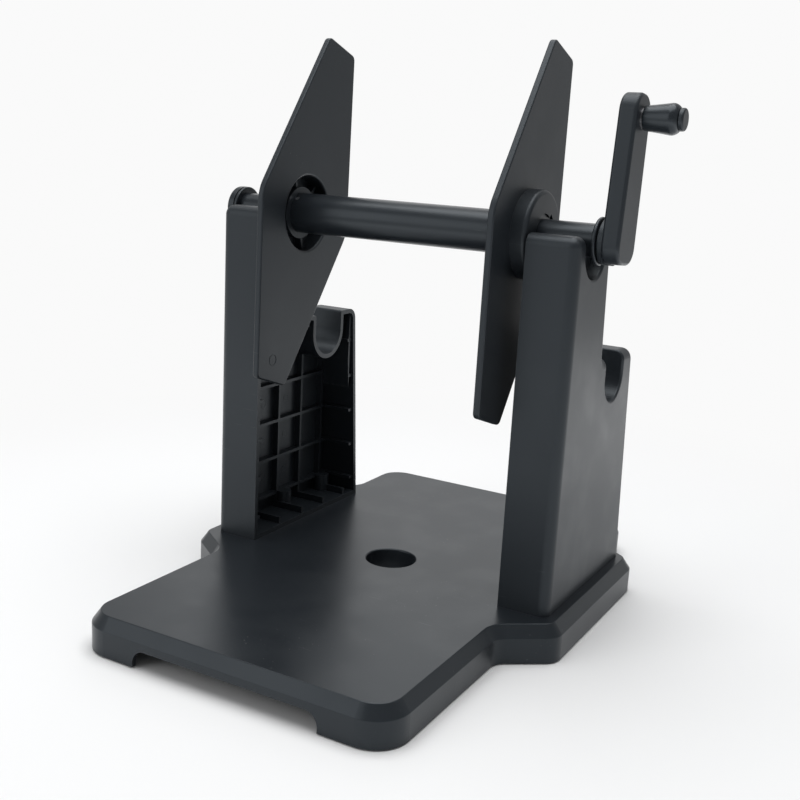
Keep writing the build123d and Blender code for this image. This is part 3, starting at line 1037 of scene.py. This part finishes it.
@dataclass
class Sky:
    """A pale world whose brightest part, for reflections, is to the rear left."""

    bright_side: tuple[float, float, float] = (-0.6, 0.8, 0.0)
    fades: Span = (-0.6, 0.95)                  # towards the bright side, as a cosine
    brightness: Span = (0.3, 0.56)

    def build(self, backdrop: float) -> None:
        """Set the world.

        Args:
            backdrop: brightness that the camera sees.
        """
        world = bpy.data.worlds.new("studio_world")
        bpy.context.scene.world = world
        world.use_nodes = True
        tree = world.node_tree
        background = tree.nodes["Background"]
        place = tree.nodes.new("ShaderNodeTexCoord")
        towards = tree.nodes.new("ShaderNodeVectorMath")
        towards.operation = "DOT_PRODUCT"
        tree.links.new(place.outputs["Generated"], towards.inputs[0])
        towards.inputs[1].default_value = self.bright_side
        reflected = smooth_range(tree, towards.outputs["Value"], self.fades, self.brightness)
        path = tree.nodes.new("ShaderNodeLightPath")
        strength = mix(tree, Mixed.VALUE, path.outputs["Is Camera Ray"], reflected, backdrop)
        tree.links.new(strength, background.inputs["Strength"])
        feed(tree, WHITE, background.inputs["Color"])


@dataclass
class ProductCamera:
    """The camera, aimed at the middle of the object and rolled a little."""

    azimuth: float = 28.78
    elevation: float = 13.33
    roll: float = 3.12
    distance: float = 0.68989
    focal: float = 49.73
    sensor: float = 36.0
    far_end: float = 50.0

    def build(self, target: Vector) -> None:
        """Place the camera and make it the scene's.

        Args:
            target: the point it looks at.
        """
        data = bpy.data.cameras.new("product_camera")
        data.lens = self.focal
        data.sensor_width = self.sensor
        data.clip_end = self.far_end
        around = math.radians(self.azimuth)
        rise = math.radians(self.elevation)
        back = Vector((math.sin(around) * math.cos(rise), -math.cos(around) * math.cos(rise), math.sin(rise)))
        right = Vector((math.cos(around), math.sin(around), 0.0))
        up = back.cross(right)
        tilt = math.radians(self.roll)
        rolled_right = right * math.cos(tilt) + up * math.sin(tilt)
        rolled_up = up * math.cos(tilt) - right * math.sin(tilt)
        turn = Matrix((rolled_right, rolled_up, back)).transposed().to_4x4()
        camera = bpy.data.objects.new("product_camera", data)
        camera.matrix_world = Matrix.Translation(target + back * self.distance) @ turn
        bpy.context.scene.collection.objects.link(camera)
        bpy.context.scene.camera = camera


@dataclass
class Studio:
    """Floor, world, soft lights and the camera."""

    target: tuple[float, float, float] = (0.00104, -0.001, 0.12858)
    backdrop: float = 0.955
    lamps: tuple[Softbox, ...] = (
        Softbox("key_softbox", (-0.9, 1.7, 1.3), size=1.3, power=4.0),
        Softbox("top_softbox", (0.0, 0.0, 1.7), size=1.6, power=26.0),
        Softbox("front_fill", (-0.9, -1.5, 0.8), size=1.2, power=6.0),
    )

    def build(self) -> None:
        """Set the whole studio up."""
        PaperFloor().build(self.backdrop)
        Sky().build(self.backdrop)
        target = Vector(self.target)
        for lamp in self.lamps:
            lamp.build(target)
        ProductCamera().build(target)
        bpy.context.scene.view_settings.view_transform = "Standard"


def main() -> None:
    """Build the stand's visible model and the studio round it."""
    Studio().build()
    pads = FootPads()
    grip = Grip()
    for node, finish in CadDressing(hidden=(pads.node, grip.node)).dress().items():
        log.info("%s dressed in %s", node, finish)
    for piece in (pads.build(), grip.build(), *MouldMarks().build()):
        log.info("%s built with %d faces", piece.name, len(piece.data.polygons))


if __name__ == "__main__":
    main()
